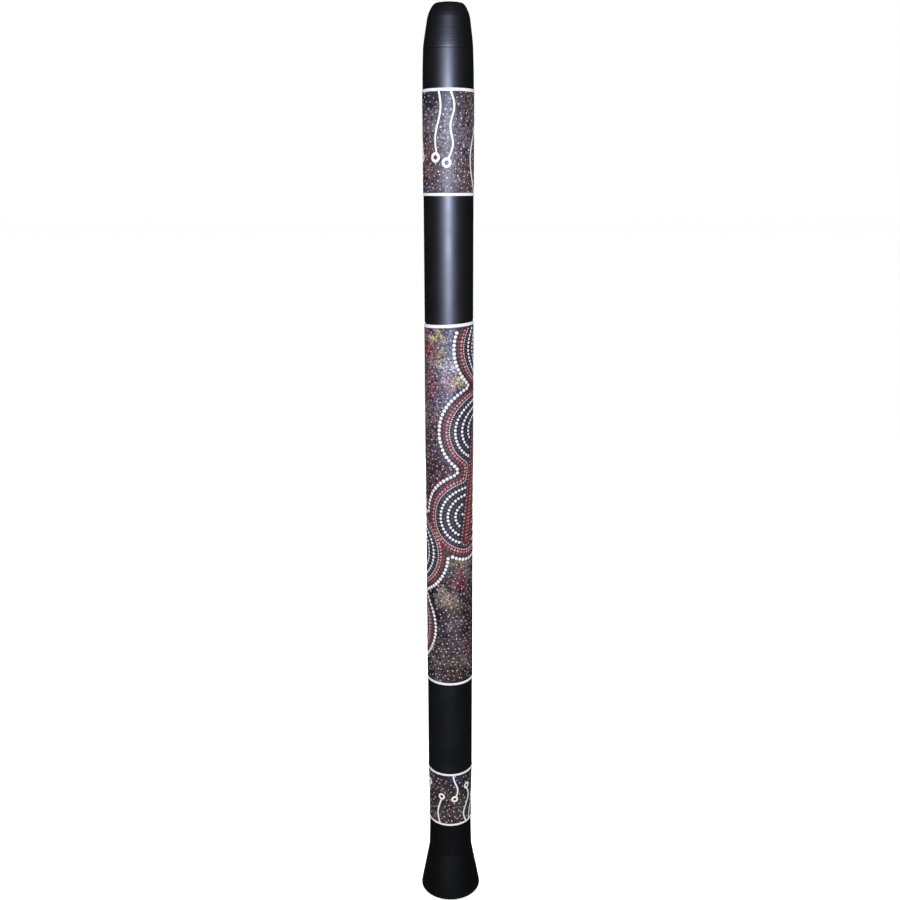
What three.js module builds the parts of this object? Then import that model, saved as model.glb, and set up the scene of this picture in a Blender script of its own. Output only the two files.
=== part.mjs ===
// A didgeridoo made of plastic pipe: a straight tube with a moulded mouthpiece glued into its top
// end and a moulded, flared bell glued into its bottom end. Three printed film sleeves and six
// white tape bands are wrapped round the outside.
// Units are millimetres, +Z is up, and the origin is the centre of the bell's flat rim.
import * as THREE from 'three';

// Driving dimensions
const TOTAL_LENGTH = 1174;
const SEGMENTS = 60;

const TUBE_OUTER_RADIUS = 30.15; // 2-inch nominal pipe, 60.3 mm across
const TUBE_BORE_RADIUS = 26.25;
const TUBE_TAPER_LENGTH = 36; // the tube narrows over this length, below the mouthpiece
const TUBE_TIP_RADIUS = 29.3;
const TUBE_TIP_SPREAD = 0.3; // how much wider the taper still is at its last quarter

const MOUTHPIECE_LENGTH = 50; // what shows above the tube
const MOUTH_HOLE_RADIUS = 14;
const LIP_CREST_RADIUS = 15.8; // where the rounded lip is highest
const LIP_ROLL_DEPTH = 2.8;
const HOLE_STRAIGHT_DEPTH = 2; // the mouth hole runs straight this far below its lip
const SHOULDER_DEPTH = 17.3; // the rounded shoulder ends this far below the lip
const SHOULDER_RADIUS = 25.2;

// How far the curves of the mouthpiece reach before they bend, as steps from their end points
const SIDE_FOOT_RISE = 8;
const SIDE_FOOT_DRAW_IN = 0.3;
const SIDE_SHOULDER_DROP = 12;
const SIDE_SHOULDER_SPREAD = 1.6;
const DOME_RISE = 8;
const DOME_DRAW_IN = 1.2;
const DOME_REACH = 2.9;
const LIP_REACH = 1.1;
const LIP_DROP = 1.5;
const FLOW_DROP = 9;
const FLOW_RISE = 20;

const BELL_JOINT_HEIGHT = 191.2; // the tube meets the bell here, under a white band
const FLARE_HEIGHT = 62.2; // the neck turns into a straight cone at a crisp corner
const NECK_END_RADIUS = 29.85;
const NECK_WAIST_RADIUS = 28.72;
const NECK_BORE_RADIUS = 25;
const BELL_RIM_RADIUS = 41.4;
const BELL_WALL = 3.6;
const RIM_ROUNDING = 0.8;
const RIM_INNER_CHAMFER = 0.4;
const THROAT_LENGTH = 15; // the bell's inside eases from cone to neck over this length
const THROAT_WIDENING = 0.1; // at its quarter length, over the cone's inside at the flare

const SPIGOT_RADIUS = 26.1;
const SPIGOT_BORE_RADIUS = 24;
const SPIGOT_CHAMFER = 0.6;
const MOUTHPIECE_SPIGOT_LENGTH = 30;
const BELL_SPIGOT_LENGTH = 35;
const SPIGOT_BORE_EASE = 6;

const JOINT_GAP = 0.3; // glue line between two butted ends
const EDGE_CHAMFER = 0.4;
const GLUE_GAP = 0.05; // adhesive under the films and tapes
const PRINT_THICKNESS = 0.4;
const BAND_THICKNESS = 0.55;
const UPPER_BAND_WIDTH = 3.3;
const MIDDLE_TOP_BAND_WIDTH = 3.9;
const MIDDLE_BOTTOM_BAND_WIDTH = 3.1;
const LOWER_BAND_WIDTH = 2.7;
const BAND_TO_PRINT_GAP = 0.15;

// The white bands, by the height of their middle
const UPPER_TOP_BAND = { height: 1078.6, width: UPPER_BAND_WIDTH };
const UPPER_BOTTOM_BAND = { height: 961.8, width: UPPER_BAND_WIDTH };
const MIDDLE_TOP_BAND = { height: 806.7, width: MIDDLE_TOP_BAND_WIDTH };
const MIDDLE_BOTTOM_BAND = { height: 328.3, width: MIDDLE_BOTTOM_BAND_WIDTH };
const LOWER_TOP_BAND = { height: BELL_JOINT_HEIGHT, width: LOWER_BAND_WIDTH };
const LOWER_BOTTOM_BAND = { height: 112.3, width: LOWER_BAND_WIDTH };
const MIDDLE_TOP_TILT = THREE.MathUtils.degToRad(3); // this band sits higher on the +X side

const MOUTHPIECE_JOINT_HEIGHT = TOTAL_LENGTH - MOUTHPIECE_LENGTH;

// Materials
const blackPlastic = new THREE.MeshStandardMaterial({ color: 0x1b1b20, roughness: 0.42, metalness: 0 });
const whiteTape = new THREE.MeshStandardMaterial({ color: 0xeeecf2, roughness: 0.45, metalness: 0 });
const dottedFilm = new THREE.MeshStandardMaterial({ color: 0x4a3a42, roughness: 0.5, metalness: 0 });
const ringedFilm = new THREE.MeshStandardMaterial({ color: 0x5a3f42, roughness: 0.5, metalness: 0 });

// A closed outline of [radius, height] pairs, turned round the +Z axis.
function turned(outline) {
  const points = outline.map(([radius, height]) => new THREE.Vector2(radius, height));
  points.push(points[0].clone());
  const geometry = new THREE.LatheGeometry(points, SEGMENTS);
  return geometry.rotateX(Math.PI / 2);
}

// Points of a cubic curve in the half plane, without its first point.
function curveAfterStart(start, control1, control2, end, steps) {
  const corners = [start, control1, control2, end].map((point) => new THREE.Vector2(...point));
  const points = new THREE.CubicBezierCurve(...corners).getPoints(steps);
  return points.slice(1).map((point) => [point.x, point.y]);
}

// The neck is waisted: a shallow parabola between the joint and the flare.
function neckRadius(height) {
  const middle = (BELL_JOINT_HEIGHT + FLARE_HEIGHT) / 2;
  const share = (height - middle) / (BELL_JOINT_HEIGHT - middle);
  return NECK_WAIST_RADIUS + (NECK_END_RADIUS - NECK_WAIST_RADIUS) * share ** 2;
}

function straightRadius() {
  return TUBE_OUTER_RADIUS;
}

// Heights from low to high in equal steps, both ends included.
function heights(low, high, steps) {
  return Array.from({ length: steps + 1 }, (_, i) => low + ((high - low) * i) / steps);
}

function mouthpiece() {
  const joint = MOUTHPIECE_JOINT_HEIGHT + JOINT_GAP / 2;
  const shoulder = [SHOULDER_RADIUS, TOTAL_LENGTH - SHOULDER_DEPTH];
  const sideStart = [TUBE_TIP_RADIUS, joint + EDGE_CHAMFER];
  const crest = [LIP_CREST_RADIUS, TOTAL_LENGTH];
  const hole = [MOUTH_HOLE_RADIUS, TOTAL_LENGTH - LIP_ROLL_DEPTH];
  const holeEnd = [MOUTH_HOLE_RADIUS, hole[1] - HOLE_STRAIGHT_DEPTH];
  const inside = [SPIGOT_BORE_RADIUS, joint + SPIGOT_BORE_EASE / 2];
  const spigotEnd = joint - MOUTHPIECE_SPIGOT_LENGTH;
  const side = curveAfterStart(
    sideStart,
    [TUBE_TIP_RADIUS - SIDE_FOOT_DRAW_IN, sideStart[1] + SIDE_FOOT_RISE],
    [SHOULDER_RADIUS + SIDE_SHOULDER_SPREAD, shoulder[1] - SIDE_SHOULDER_DROP],
    shoulder,
    7,
  );
  const dome = curveAfterStart(
    shoulder,
    [SHOULDER_RADIUS - DOME_DRAW_IN, shoulder[1] + DOME_RISE],
    [LIP_CREST_RADIUS + DOME_REACH, TOTAL_LENGTH],
    crest,
    8,
  );
  const lip = curveAfterStart(
    crest,
    [LIP_CREST_RADIUS - LIP_REACH, TOTAL_LENGTH],
    [MOUTH_HOLE_RADIUS, hole[1] + LIP_DROP],
    hole,
    4,
  );
  const flow = curveAfterStart(
    holeEnd,
    [MOUTH_HOLE_RADIUS, holeEnd[1] - FLOW_DROP],
    [SPIGOT_BORE_RADIUS, inside[1] + FLOW_RISE],
    inside,
    7,
  );
  return turned([
    [SPIGOT_RADIUS, joint],
    [TUBE_TIP_RADIUS - EDGE_CHAMFER, joint],
    sideStart,
    ...side,
    ...dome,
    ...lip,
    holeEnd,
    ...flow,
    [SPIGOT_BORE_RADIUS, spigotEnd],
    [SPIGOT_RADIUS - SPIGOT_CHAMFER, spigotEnd],
    [SPIGOT_RADIUS, spigotEnd + SPIGOT_CHAMFER],
  ]);
}

function mainTube() {
  const top = MOUTHPIECE_JOINT_HEIGHT - JOINT_GAP / 2;
  const bottom = BELL_JOINT_HEIGHT + JOINT_GAP / 2;
  const taperStart = [TUBE_OUTER_RADIUS, top - TUBE_TAPER_LENGTH];
  const taper = curveAfterStart(
    taperStart,
    [TUBE_OUTER_RADIUS, taperStart[1] + TUBE_TAPER_LENGTH / 3],
    [TUBE_TIP_RADIUS + TUBE_TIP_SPREAD, top - TUBE_TAPER_LENGTH / 4],
    [TUBE_TIP_RADIUS, top - EDGE_CHAMFER],
    5,
  );
  return turned([
    [TUBE_BORE_RADIUS, bottom],
    [TUBE_OUTER_RADIUS, bottom],
    taperStart,
    ...taper,
    [TUBE_TIP_RADIUS - EDGE_CHAMFER, top],
    [TUBE_BORE_RADIUS, top],
  ]);
}

function bell() {
  const joint = BELL_JOINT_HEIGHT - JOINT_GAP / 2;
  const coneSlope = (BELL_RIM_RADIUS - NECK_END_RADIUS) / FLARE_HEIGHT;
  const coneRadius = (height) => BELL_RIM_RADIUS - coneSlope * height;
  const spigotEnd = joint + BELL_SPIGOT_LENGTH;
  const neck = heights(FLARE_HEIGHT, joint, 8).map((height) => [neckRadius(height), height]);
  return turned([
    [coneRadius(0) - BELL_WALL + RIM_INNER_CHAMFER, 0],
    [BELL_RIM_RADIUS - RIM_ROUNDING, 0],
    [BELL_RIM_RADIUS - RIM_ROUNDING / 4, RIM_ROUNDING / 4],
    [coneRadius(RIM_ROUNDING), RIM_ROUNDING],
    ...neck,
    [SPIGOT_RADIUS, joint],
    [SPIGOT_RADIUS, spigotEnd - SPIGOT_CHAMFER],
    [SPIGOT_RADIUS - SPIGOT_CHAMFER, spigotEnd],
    [SPIGOT_BORE_RADIUS, spigotEnd],
    [SPIGOT_BORE_RADIUS, joint + SPIGOT_BORE_EASE / 2],
    [NECK_BORE_RADIUS, joint - SPIGOT_BORE_EASE / 2],
    [NECK_BORE_RADIUS, FLARE_HEIGHT + THROAT_LENGTH],
    [coneRadius(FLARE_HEIGHT) - BELL_WALL + THROAT_WIDENING, FLARE_HEIGHT + THROAT_LENGTH / 4],
    [coneRadius(FLARE_HEIGHT - THROAT_LENGTH / 2) - BELL_WALL, FLARE_HEIGHT - THROAT_LENGTH / 2],
    [coneRadius(RIM_INNER_CHAMFER) - BELL_WALL, RIM_INNER_CHAMFER],
  ]);
}

// A thin layer wrapped round the body, following the bare body's radius at each height.
function layer(low, high, bareRadius, thickness, steps) {
  const inner = heights(low, high, steps).map((height) => [bareRadius(height) + GLUE_GAP, height]);
  const outer = inner.map(([radius, height]) => [radius + thickness, height]);
  return turned([...outer, ...inner.reverse()]);
}

function tape(band, bareRadius) {
  const low = band.height - band.width / 2;
  return layer(low, low + band.width, bareRadius, BAND_THICKNESS, 1);
}

// Film between a lower and an upper band.
function print(lowerBand, upperBand, bareRadius, steps) {
  const low = lowerBand.height + lowerBand.width / 2 + BAND_TO_PRINT_GAP;
  const high = upperBand.height - upperBand.width / 2 - BAND_TO_PRINT_GAP;
  return layer(low, high, bareRadius, PRINT_THICKNESS, steps);
}

// Raises the vertices above a height by the tilt, more towards +X.
function tiltAbove(geometry, height) {
  const position = geometry.attributes.position;
  const slope = Math.tan(MIDDLE_TOP_TILT);
  for (let i = 0; i < position.count; i += 1) {
    if (position.getZ(i) > height) {
      position.setZ(i, position.getZ(i) + slope * position.getX(i));
    }
  }
  geometry.computeVertexNormals();
  return geometry;
}

const didgeridoo = new THREE.Group();

function add(name, geometry, material) {
  const mesh = new THREE.Mesh(geometry, material);
  mesh.name = name;
  didgeridoo.add(mesh);
}

add('mouthpiece', mouthpiece(), blackPlastic);
add('main_tube', mainTube(), blackPlastic);
add('bell', bell(), blackPlastic);

add('upper_print_wrap', print(UPPER_BOTTOM_BAND, UPPER_TOP_BAND, straightRadius, 1), dottedFilm);
add('lower_print_wrap', print(LOWER_BOTTOM_BAND, LOWER_TOP_BAND, neckRadius, 7), dottedFilm);

const middlePrint = print(MIDDLE_BOTTOM_BAND, MIDDLE_TOP_BAND, straightRadius, 1);
const middleOfPrint = (MIDDLE_BOTTOM_BAND.height + MIDDLE_TOP_BAND.height) / 2;
add('middle_print_wrap', tiltAbove(middlePrint, middleOfPrint), ringedFilm);

add('upper_wrap_top_band', tape(UPPER_TOP_BAND, straightRadius), whiteTape);
add('upper_wrap_bottom_band', tape(UPPER_BOTTOM_BAND, straightRadius), whiteTape);
add('middle_wrap_top_band', tiltAbove(tape(MIDDLE_TOP_BAND, straightRadius), 0), whiteTape);
add('middle_wrap_bottom_band', tape(MIDDLE_BOTTOM_BAND, straightRadius), whiteTape);
add('lower_wrap_top_band', tape(LOWER_TOP_BAND, straightRadius), whiteTape);
add('lower_wrap_bottom_band', tape(LOWER_BOTTOM_BAND, neckRadius), whiteTape);

export default didgeridoo;
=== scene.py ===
"""Looks for a didgeridoo of black plastic pipe with printed film sleeves and white tape bands.

Shapes are worked out in millimetres, from the frame's boxes and the few values below, and put in
metres when a mesh is made. An angle is measured round the tube from the side that faces -Y, and
grows towards +X. A place on a sleeve is (arc, height): arc is that angle times the tube's radius.
"""
import math
import random

import bpy
import numpy as np
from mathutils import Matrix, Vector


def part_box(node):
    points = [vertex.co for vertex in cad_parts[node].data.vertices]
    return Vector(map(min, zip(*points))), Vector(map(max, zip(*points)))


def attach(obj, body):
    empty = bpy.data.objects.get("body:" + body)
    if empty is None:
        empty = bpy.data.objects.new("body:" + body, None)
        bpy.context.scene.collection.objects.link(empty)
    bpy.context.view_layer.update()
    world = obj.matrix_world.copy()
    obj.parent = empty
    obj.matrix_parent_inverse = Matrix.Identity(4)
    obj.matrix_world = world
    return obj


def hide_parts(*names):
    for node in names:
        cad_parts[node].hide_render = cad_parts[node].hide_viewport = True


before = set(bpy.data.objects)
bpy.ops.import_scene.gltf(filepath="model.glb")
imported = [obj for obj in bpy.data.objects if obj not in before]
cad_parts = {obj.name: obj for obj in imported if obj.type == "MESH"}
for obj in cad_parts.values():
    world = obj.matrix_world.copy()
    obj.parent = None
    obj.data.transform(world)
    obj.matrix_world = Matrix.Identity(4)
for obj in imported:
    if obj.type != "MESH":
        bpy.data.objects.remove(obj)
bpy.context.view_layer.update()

MM = 0.001


def lowest(node):
    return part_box(node)[0] / MM


def highest(node):
    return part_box(node)[1] / MM


def middle_height(node):
    return (lowest(node).z + highest(node).z) / 2


# Sizes read from the frame
TOP = highest("mouthpiece").z
MOUTHPIECE_SPIGOT_END = lowest("mouthpiece").z
TUBE_RADIUS = highest("main_tube").x
TUBE_TOP = highest("main_tube").z
TUBE_BOTTOM = lowest("main_tube").z
BELL_SPIGOT_END = highest("bell").z
BELL_RIM_RADIUS = highest("bell").x + 0.2  # at the corner that the rim's rounding is cut from

# Sizes that the frame's boxes don't give
JOINT_GAP = 0.3
SPIGOT_RADIUS = 26.1
TUBE_BORE_RADIUS = 26.25
TUBE_TIP_RADIUS = 29.3
TUBE_TAPER_LENGTH = 36
SPIGOT_BORE_RADIUS = 24
MOUTH_HOLE_RADIUS = 14
LIP_CREST_RADIUS = 15.8
LIP_ROLL_DEPTH = 2.8
SHOULDER_DEPTH = 17.3
SHOULDER_RADIUS = 25.2
NECK_END_RADIUS = 29.85
NECK_WAIST_RADIUS = 28.72
NECK_BORE_RADIUS = 25
FLARE_HEIGHT = 62.2
MOUTHPIECE_LEAN = 1.1  # the mouthpiece is glued on a little askew, towards +X
BELL_WALL = 3.6
SEAM_ROUNDING = 0.25  # where the mouthpiece meets the tube
PIPE_END_ROUNDING = 0.3
SPIGOT_END_ROUNDING = 0.7
BORE_END_ROUNDING = 0.5

GLUE = 0.05
PRINT_THICKNESS = 0.4
TAPE_THICKNESS = 0.55
TAPE_CORNER = 0.12
LAP_CLEARANCE = 0.03
LAP_RAMP = 2.2 / TUBE_RADIUS  # the turn in which a strip's end climbs on to its start
PRINT_LAP = 5
TAPE_LAP = 7
PRINT_SEAMS = {"upper_print_wrap": 172, "middle_print_wrap": 178, "lower_print_wrap": 186}  # angles
PRINT_ROW_PITCH = 4
RINGED_PRINT_ROW_PITCH = 1.3  # finer, because its vertices carry the zones
MIDDLE_TOP_SLOPE = math.tan(math.radians(3))

LATHE_COLUMNS = 192
SLEEVE_COLUMNS = 168
SHARP_ANGLE = 38
INK_SHARP_ANGLE = 80

TUBE_TAPE_RADIUS = TUBE_RADIUS + GLUE + TAPE_THICKNESS
PAINT_SINK = 0.08  # a dot's foot goes this far into the film

# The middle sleeve's ring motifs: two chains of equal rings that step down and round the tube
MOTIF_RADIUS = 58
CHAINS = [[(120, 778), (84, 674), (48, 563)], [(-112, 511), (-146, 407)]]  # angle, height
PATH_END = (-2, -33)  # a path runs from a motif's middle to this far from the next one's
PATH_HALF_WIDTH = 7.4
PATH_OUTLINE_RADIUS = 25
PATH_ROW_GAP = 5.8
PATH_PITCH = 4.6
PATH_DOT_RADIUS = 1.25
PATH_DOT_RISE = 0.22
PATH_DOT_DEPTH = 15.5  # a path has dots only this far inside the outline
OUTLINE_BLEND = 2.2
RED_DEPTH = 4.3  # the red ground starts this far inside a chain's outline
FIELD_DEPTH = 12.4  # and a motif's dark field starts this far inside its edge
PATH_GROUND_DEPTH = 13.5  # a path's red ground cuts the dark field this far inside the outline
PATH_GROUND_MARGIN = 1.4
ZONE_BLUR = 1.4
CHAIN_CLEARANCE = 1.6  # between a row and the other chain's rows, and between a ring and a path
RING_OVERLAP = 8  # a ring's dots may lie this far inside the other chain's outline


# ---------- shader building


def srgb(red, green, blue):
    """A linear colour with alpha from screen values of 0 to 255."""
    def linear(value):
        value = value / 255
        return value / 12.92 if value <= 0.04045 else ((value + 0.055) / 1.055) ** 2.4
    return (linear(red), linear(green), linear(blue), 1)


TURNING_STRENGTH = 12.0  # against the fine grain's 1.0


class Shader:
    """One node material. Each method adds a node and gives back its output."""

    def __init__(self, name):
        self.material = bpy.data.materials.new(name)
        self.material.use_nodes = True
        self.tree = self.material.node_tree
        self.surface = self.tree.nodes["Principled BSDF"]
        self.place = self.add("ShaderNodeTexCoord").outputs["Object"]

    def add(self, kind, inputs=None, **settings):
        node = self.tree.nodes.new(kind)
        for name, value in settings.items():
            setattr(node, name, value)
        for name, value in (inputs or {}).items():  # by name or by number
            self.feed(node.inputs[name], value)
        return node

    def feed(self, socket, value):
        if isinstance(value, bpy.types.NodeSocket):
            self.tree.links.new(value, socket)
        else:
            socket.default_value = value

    def set(self, **inputs):
        for name, value in inputs.items():
            self.feed(self.surface.inputs[name.replace("_", " ")], value)

    def noise(self, scale, seed, detail=2, roughness=0.5):
        inputs = {"Vector": self.place, "W": seed, "Scale": scale}
        inputs.update({"Detail": detail, "Roughness": roughness})
        return self.add("ShaderNodeTexNoise", inputs, noise_dimensions="4D").outputs["Fac"]

    def cells(self, scale, seed):
        inputs = {"Vector": self.place, "W": seed, "Scale": scale}
        return self.add("ShaderNodeTexVoronoi", inputs, voronoi_dimensions="4D")

    def spread(self, value, low, high, to_low=0.0, to_high=1.0):
        inputs = {"Value": value, "From Min": low, "From Max": high}
        inputs.update({"To Min": to_low, "To Max": to_high})
        return self.add("ShaderNodeMapRange", inputs).outputs["Result"]

    def mix(self, share, first, second, blend="MIX"):
        """The second colour over the first. These sockets share their names, so go by number."""
        node = self.add("ShaderNodeMix", data_type="RGBA", blend_type=blend)
        self.feed(node.inputs[0], share)
        self.feed(node.inputs[6], first)
        self.feed(node.inputs[7], second)
        return node.outputs[2]

    def scaled(self, colour, level):
        """The colour made lighter or darker by a level."""
        grey = self.add("ShaderNodeCombineXYZ", {"X": level, "Y": level, "Z": level}).outputs[0]
        return self.mix(1.0, colour, grey, blend="MULTIPLY")

    def channels(self, colour):
        return self.add("ShaderNodeSeparateColor", {"Color": colour}).outputs

    def vector(self, operation, first, second):
        return self.add("ShaderNodeVectorMath", {0: first, 1: second}, operation=operation)

    def math(self, operation, first, second):
        node = self.add("ShaderNodeMath", operation=operation)
        self.feed(node.inputs[0], first)
        self.feed(node.inputs[1], second)
        return node.outputs[0]

    def height(self):
        return self.add("ShaderNodeSeparateXYZ", {"Vector": self.place}).outputs["Z"]

    def turning_marks(self, low):
        """Faint level ridges round the axis, above a height in millimetres."""
        height = self.height()
        inputs = {"W": height, "Scale": 420, "Detail": 3}
        noise = self.add("ShaderNodeTexNoise", inputs, noise_dimensions="1D")
        strength = self.spread(height, low * MM, (low + 2) * MM, 0.0, TURNING_STRENGTH)
        return self.math("MULTIPLY", noise.outputs["Fac"], strength)

    def attribute(self, name):
        return self.add("ShaderNodeAttribute", attribute_name=name)

    def bump(self, relief, strength, distance):
        inputs = {"Height": relief, "Strength": strength, "Distance": distance}
        self.set(Normal=self.add("ShaderNodeBump", inputs).outputs["Normal"])


# ---------- materials


def black_plastic(name, worn_at, clean_at, turned_from, darker, lighter):
    """Satin black plastic clouded between two greys. It is most scuffed at one height, in
    millimetres, and clean from a second one, with faint turning marks above a third."""
    shader = Shader(name)
    cloud = shader.noise(28, 1.3, detail=5, roughness=0.6)
    grain = shader.math("ADD", shader.noise(1400, 4.1), shader.turning_marks(turned_from))
    scuffs = shader.spread(shader.noise(420, 8.7, detail=6, roughness=0.75), 0.56, 0.66)
    near = shader.spread(shader.height(), clean_at * MM, worn_at * MM)
    wear = shader.math("MULTIPLY", scuffs, near)
    base = shader.mix(shader.spread(cloud, 0.35, 0.65), darker, lighter)
    shader.set(Base_Color=shader.mix(wear, base, srgb(74, 73, 76)))
    rough = shader.spread(cloud, 0.3, 0.7, 0.42, 0.48)
    shader.set(Roughness=shader.math("ADD", rough, shader.math("MULTIPLY", wear, 0.25)))
    shader.bump(grain, strength=0.12, distance=0.00006)
    return shader.material


def white_tape():
    shader = Shader("white_tape")
    cloud = shader.noise(60, 2.2, detail=4)
    grime = shader.spread(shader.noise(260, 5.5, detail=5, roughness=0.7), 0.6, 0.78)
    base = shader.mix(shader.spread(cloud, 0.3, 0.7), srgb(238, 236, 250), srgb(248, 246, 254))
    shader.set(Base_Color=shader.mix(shader.math("MULTIPLY", grime, 0.35), base, srgb(188, 182, 184)))
    shader.set(Roughness=shader.spread(cloud, 0.3, 0.7, 0.36, 0.5))
    shader.bump(shader.noise(900, 3.3), strength=0.1, distance=0.00005)
    return shader.material


CLOUD_WANDER = 0.045  # in metres: how far noise pulls the edge of each placed patch about, the print's clouds and the painted sheen alike
CLOUD_SHARE = 0.72
CLOUD_REACH = 1.15  # a placed patch is gone this far out, in sizes
CLOUD_CORE = 0.25  # and full this far out


def drifting_clouds_and_sheen(shader, ground, clouds):
    """Soft ragged patches at set places: clouds of print, and at the front a few bluish and pale patches
    of painted sheen, the lamp's gleam on the film. Each is (colour, angle, height, size).
    """
    wander = shader.add("ShaderNodeTexNoise", {"Vector": shader.place, "Scale": 60, "Detail": 4})
    offset = shader.vector("SUBTRACT", wander.outputs["Color"], (0.5, 0.5, 0.5)).outputs[0]
    pull = shader.add("ShaderNodeVectorMath", {0: offset, "Scale": CLOUD_WANDER}, operation="SCALE")
    place = shader.vector("ADD", shader.place, pull.outputs[0]).outputs[0]
    for colour, angle, height, size in clouds:
        turn = math.radians(angle)
        radius = TUBE_RADIUS * MM
        centre = (math.sin(turn) * radius, -math.cos(turn) * radius, height * MM)
        gap = shader.vector("DISTANCE", place, centre).outputs["Value"]
        share = shader.spread(gap, size * CLOUD_REACH * MM, size * CLOUD_CORE * MM, 0.0, CLOUD_SHARE)
        ground = shader.mix(share, ground, colour)
    return ground


CLOUDINESS = 0.4
FLECK_SHARE = 0.65


def mottled_ground(shader, drifting_and_sheen, painted_light_levels):
    """A dark ground clouded with maroon, olive, slate and pink, and broken up into fine specks. The
    last argument is painted light: the ground is scaled brighter towards the top, as light that falls
    off from above, by (low height in metres, high height, brightness at the low one, at the high one)."""
    tone = shader.spread(shader.noise(45, 0.4, detail=3), 0.4, 0.62)
    ground = shader.mix(tone, srgb(34, 28, 42), srgb(72, 60, 74))
    clouds = [  # colour, noise scale, seed, noise where it starts and where it is full
        (srgb(146, 50, 62), 26, 11.0, 0.53, 0.66),
        (srgb(160, 146, 84), 24, 17.0, 0.57, 0.70),
        (srgb(112, 118, 156), 22, 23.0, 0.52, 0.66),
        (srgb(196, 172, 182), 20, 29.0, 0.55, 0.70),
        (srgb(122, 92, 74), 30, 37.0, 0.54, 0.67),
    ]
    for colour, scale, seed, low, high in clouds:
        noise = shader.noise(scale, seed, detail=4, roughness=0.62)
        ground = shader.mix(shader.spread(noise, low, high, 0.0, CLOUDINESS), ground, colour)
    ground = drifting_clouds_and_sheen(shader, ground, drifting_and_sheen)
    specks = [(700, 3.0, 0.12, 1.65), (330, 6.0, 0.32, 1.38)]  # scale, seed, darkest, lightest
    for scale, seed, darkest, lightest in specks:
        chance = shader.channels(shader.cells(scale, seed).outputs["Color"])[0]
        ground = shader.scaled(ground, shader.spread(chance, 0.0, 1.0, darkest, lightest))
    flecks = shader.cells(400, 9.0)
    fleck = shader.spread(flecks.outputs["Distance"], 0.30, 0.18)
    chosen = shader.spread(shader.channels(flecks.outputs["Color"])[1], 0.55, 0.6)
    share = shader.math("MULTIPLY", shader.math("MULTIPLY", fleck, chosen), FLECK_SHARE)
    ground = shader.mix(share, ground, srgb(190, 176, 178))
    # Painted light: the ground grows brighter towards the top, as light falling off from above
    return shader.scaled(ground, shader.spread(shader.height(), *painted_light_levels))


def finish_film(shader, base, gloss):
    shader.set(Base_Color=base, Specular_IOR_Level=gloss)
    shader.set(Roughness=shader.spread(shader.noise(90, 7.7, detail=4), 0.3, 0.7, 0.5, 0.6))
    shader.bump(shader.noise(700, 5.1, detail=3), strength=0.1, distance=0.00005)
    return shader.material


def dotted_film():
    shader = Shader("mottled_print")
    upper_clouds_and_sheen = [
        # The bluish patch at 8 degrees, 1030 high, is painted sheen: the lamp's bluish gleam on the
        # sleeve's front
        (srgb(120, 76, 72), -60, 1040, 26), (srgb(120, 124, 150), 8, 1030, 40),
        (srgb(132, 128, 108), -8, 1035, 12), (srgb(112, 74, 66), -58, 1000, 30),
        (srgb(118, 108, 120), 10, 985, 30), (srgb(110, 84, 78), 58, 985, 30),
        (srgb(102, 84, 86), 52, 1038, 34),
    ]
    lower_clouds = [
        (srgb(70, 62, 110), 0, 186, 16), (srgb(74, 66, 66), -30, 172, 20),
        (srgb(116, 72, 84), 2, 140, 14), (srgb(96, 92, 78), -40, 125, 20),
        (srgb(92, 84, 72), 30, 128, 18), (srgb(96, 46, 52), -66, 150, 18),
    ]
    # Painted light: the lower sleeve is made darker than the upper one, as light falling off from above
    ground = mottled_ground(shader, upper_clouds_and_sheen + lower_clouds, (0.2, 1.0, 0.74, 0.95))
    return finish_film(shader, ground, gloss=0.38)


def ringed_film():
    """The mottled ground, with dark gaps, near-black fields and red bands where the zones say."""
    shader = Shader("ringed_print")
    clouds = [
        # The bluish patches at 6 and -6 degrees, 765 and 705 high, are painted sheen: the lamp's bluish
        # gleam on the sleeve's front
        (srgb(104, 112, 140), 6, 765, 48), (srgb(96, 100, 132), -6, 705, 36),
        (srgb(136, 54, 66), -60, 776, 25), (srgb(186, 176, 126), -32, 793, 11),
        (srgb(140, 134, 104), -22, 765, 12), (srgb(132, 60, 66), -48, 735, 18),
        # The pale patch at -2 degrees, 752 high, is a painted highlight from the same lamp
        (srgb(172, 170, 184), -2, 752, 14), (srgb(172, 132, 138), 2, 736, 12),
        (srgb(164, 156, 108), 20, 735, 10), (srgb(108, 76, 70), -50, 690, 26),
        (srgb(104, 68, 62), -58, 640, 26), (srgb(92, 92, 120), -12, 655, 18),
        (srgb(140, 132, 108), 26, 497, 17), (srgb(140, 44, 74), 24, 478, 17),
        (srgb(70, 66, 100), 52, 520, 20), (srgb(196, 178, 160), -14, 458, 16),
        (srgb(150, 134, 116), 6, 446, 18), (srgb(134, 122, 130), 12, 415, 18),
        (srgb(140, 128, 138), 18, 385, 16), (srgb(112, 66, 62), 62, 385, 24),
        (srgb(104, 84, 70), 0, 352, 24), (srgb(88, 48, 50), 64, 430, 22),
    ]
    # Painted light: the ground doubles in brightness towards the sleeve's top, as light falling off from
    # above
    ground = mottled_ground(shader, clouds, (0.4, 0.8, 0.68, 1.36))
    red_zone, field_zone, gap_zone = shader.channels(shader.attribute("zones").outputs["Color"])
    uneven = shader.spread(shader.noise(300, 41.0, detail=4, roughness=0.7), 0.35, 0.65)
    field = shader.mix(uneven, srgb(12, 10, 16), srgb(66, 61, 76))
    red = shader.mix(uneven, srgb(48, 12, 17), srgb(120, 52, 58))
    gap = shader.mix(uneven, srgb(22, 18, 23), srgb(84, 75, 84))
    base = shader.mix(gap_zone, ground, gap)
    base = shader.mix(field_zone, base, field)
    base = shader.mix(red_zone, base, red)
    return finish_film(shader, base, gloss=0.28)


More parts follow.
